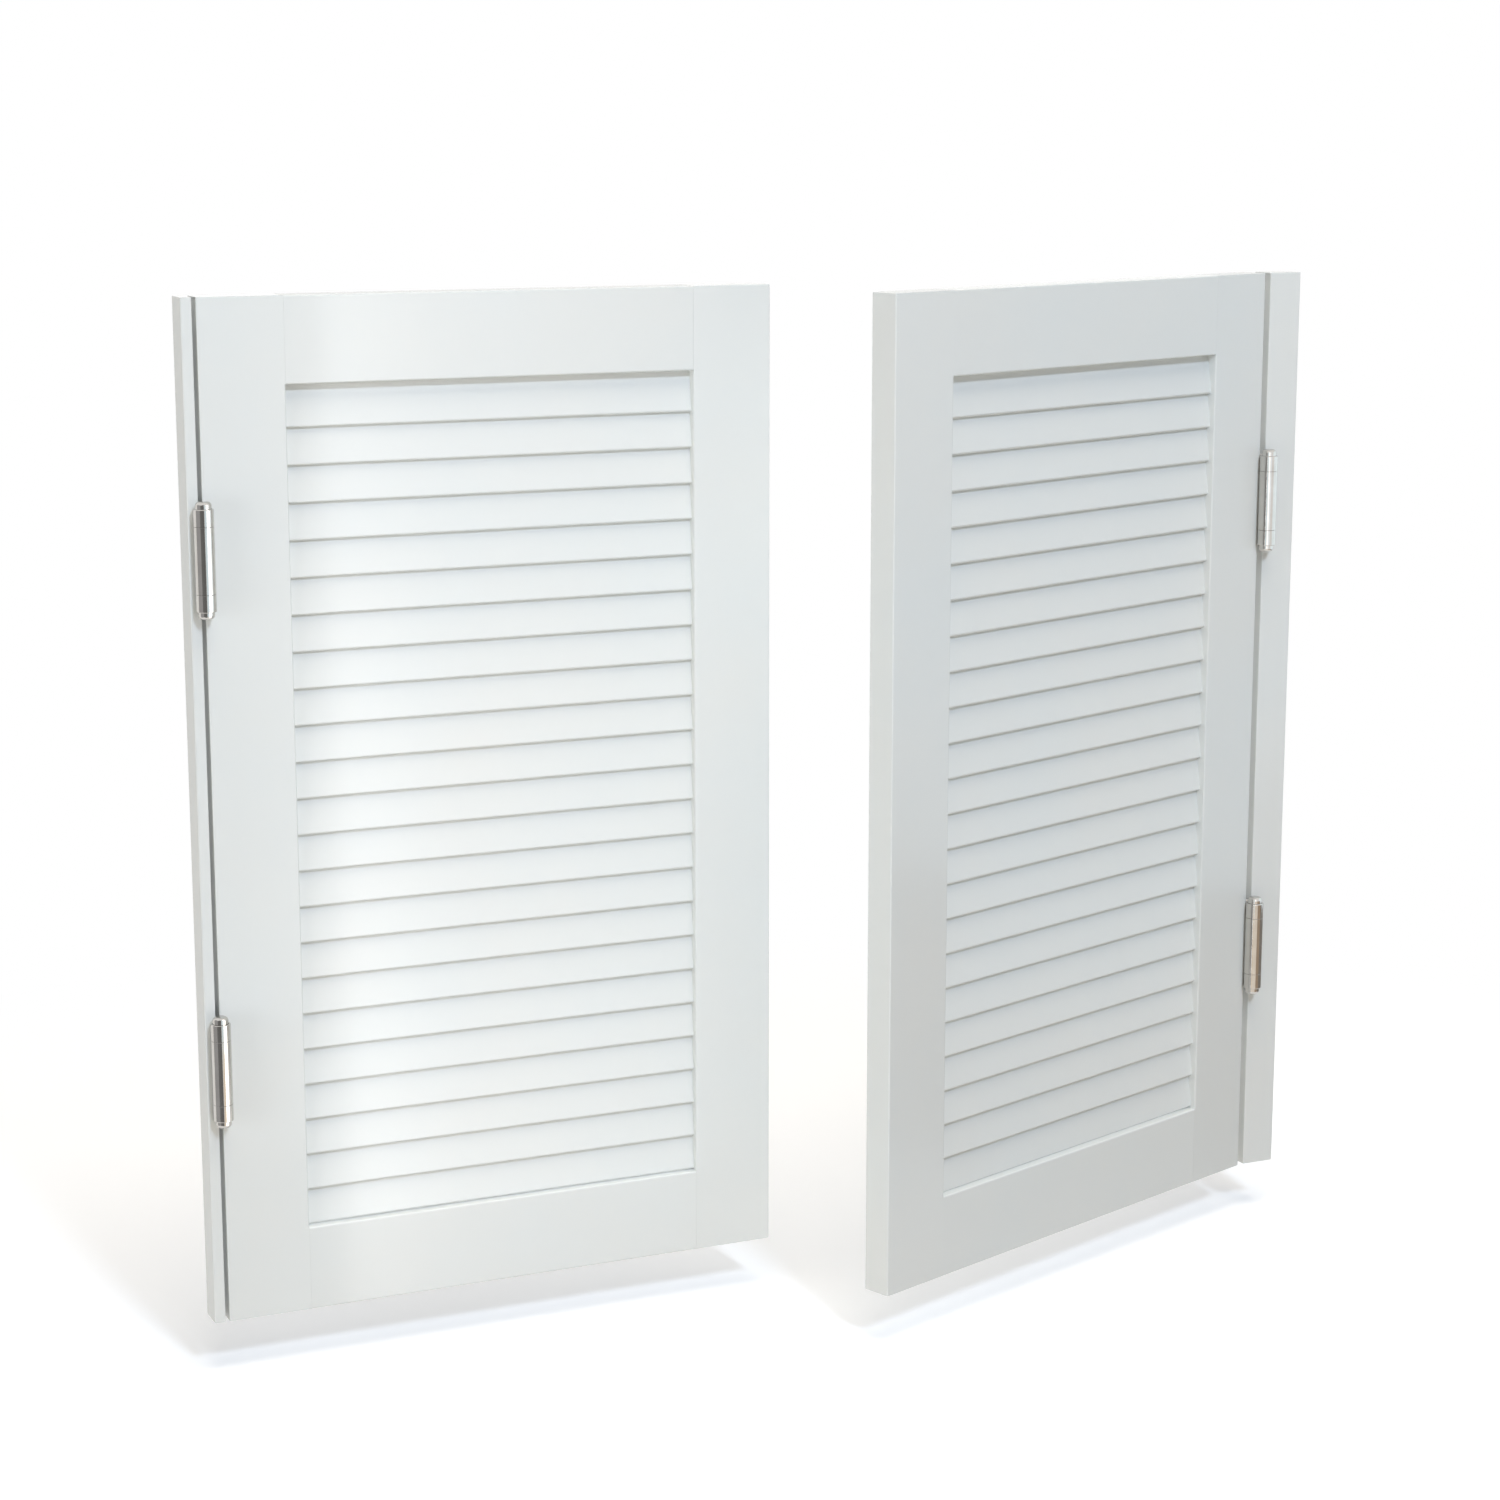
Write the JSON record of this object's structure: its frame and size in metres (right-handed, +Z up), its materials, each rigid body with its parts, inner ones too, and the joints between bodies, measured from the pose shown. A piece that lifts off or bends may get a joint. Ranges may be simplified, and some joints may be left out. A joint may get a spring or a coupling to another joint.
{
  "type": "cafe swinging doors",
  "caption": "Pair of white louvred cafe doors, each leaf hung from a jamb strip on double-acting spring hinges that swing it both ways and shut it again.",
  "frame": {"origin": "middle of the face that the left jamb strip turns to the wall", "axes": "+X along the doorway from the left jamb to the right one, +Y away from the viewer, +Z up"},
  "size_m": [1.122, 0.2342, 0.9144],
  "materials": {
    "white_paint": "satin white paint on wood",
    "hinge_nickel": "satin nickel plate",
    "spring_steel": "oiled spring steel"
  },
  "bodies": {
    "root": {"left_jamb_strip": "white_paint", "left_upper_jamb_flange": "hinge_nickel", "left_upper_rear_pin": "hinge_nickel", "left_upper_rear_cap": "hinge_nickel", "left_upper_rear_collar": "spring_steel", "left_lower_jamb_flange": "hinge_nickel", "left_lower_rear_pin": "hinge_nickel", "left_lower_rear_cap": "hinge_nickel", "left_lower_rear_collar": "spring_steel", "right_jamb_strip": "white_paint", "right_upper_jamb_flange": "hinge_nickel", "right_upper_rear_pin": "hinge_nickel", "right_upper_rear_cap": "hinge_nickel", "right_upper_rear_collar": "spring_steel", "right_lower_jamb_flange": "hinge_nickel", "right_lower_rear_pin": "hinge_nickel", "right_lower_rear_cap": "hinge_nickel", "right_lower_rear_collar": "spring_steel"},
    "left_web": {"left_upper_centre_web": "hinge_nickel", "left_upper_front_spring": "spring_steel", "left_upper_rear_spring": "spring_steel", "left_lower_centre_web": "hinge_nickel", "left_lower_front_spring": "spring_steel", "left_lower_rear_spring": "spring_steel"},
    "left_leaf": {"left_hinge_stile": "white_paint", "left_slatted_free_stile": "white_paint", "left_top_rail": "white_paint", "left_bottom_rail": "white_paint", "left_upper_door_flange": "hinge_nickel", "left_upper_front_pin": "hinge_nickel", "left_upper_front_cap": "hinge_nickel", "left_upper_front_collar": "spring_steel", "left_lower_door_flange": "hinge_nickel", "left_lower_front_pin": "hinge_nickel", "left_lower_front_cap": "hinge_nickel", "left_lower_front_collar": "spring_steel"},
    "right_web": {"right_upper_centre_web": "hinge_nickel", "right_upper_front_spring": "spring_steel", "right_upper_rear_spring": "spring_steel", "right_lower_centre_web": "hinge_nickel", "right_lower_front_spring": "spring_steel", "right_lower_rear_spring": "spring_steel"},
    "right_leaf": {"right_hinge_stile": "white_paint", "right_slatted_free_stile": "white_paint", "right_top_rail": "white_paint", "right_bottom_rail": "white_paint", "right_upper_door_flange": "hinge_nickel", "right_upper_front_pin": "hinge_nickel", "right_upper_front_cap": "hinge_nickel", "right_upper_front_collar": "spring_steel", "right_lower_door_flange": "hinge_nickel", "right_lower_front_pin": "hinge_nickel", "right_lower_front_cap": "hinge_nickel", "right_lower_front_collar": "spring_steel"}
  },
  "joints": [
    {"name": "left_rear", "type": "hinge", "parent": "root", "child": "left_web", "pos_m": [0.0117, 0.0236, 0], "axis": [0, 0, 1], "range_deg": [0, 90], "stiffness_Nm_per_rad": 2, "springref_deg": -20.05},
    {"name": "left_front", "type": "hinge", "parent": "left_web", "child": "left_leaf", "pos_m": [0.0117, -0.0236, 0], "axis": [0, 0, -1], "range_deg": [0, 120], "stiffness_Nm_per_rad": 2, "springref_deg": -20.05},
    {"name": "right_rear", "type": "hinge", "parent": "root", "child": "right_web", "pos_m": [1.0853, 0.0236, 0], "axis": [0, 0, -1], "range_deg": [0, 90], "stiffness_Nm_per_rad": 2, "springref_deg": -20.05},
    {"name": "right_front", "type": "hinge", "parent": "right_web", "child": "right_leaf", "pos_m": [1.0853, -0.0236, 0], "axis": [0, 0, 1], "range_deg": [-20.5, 99.5], "stiffness_Nm_per_rad": 2, "springref_deg": -40.55}
  ]
}
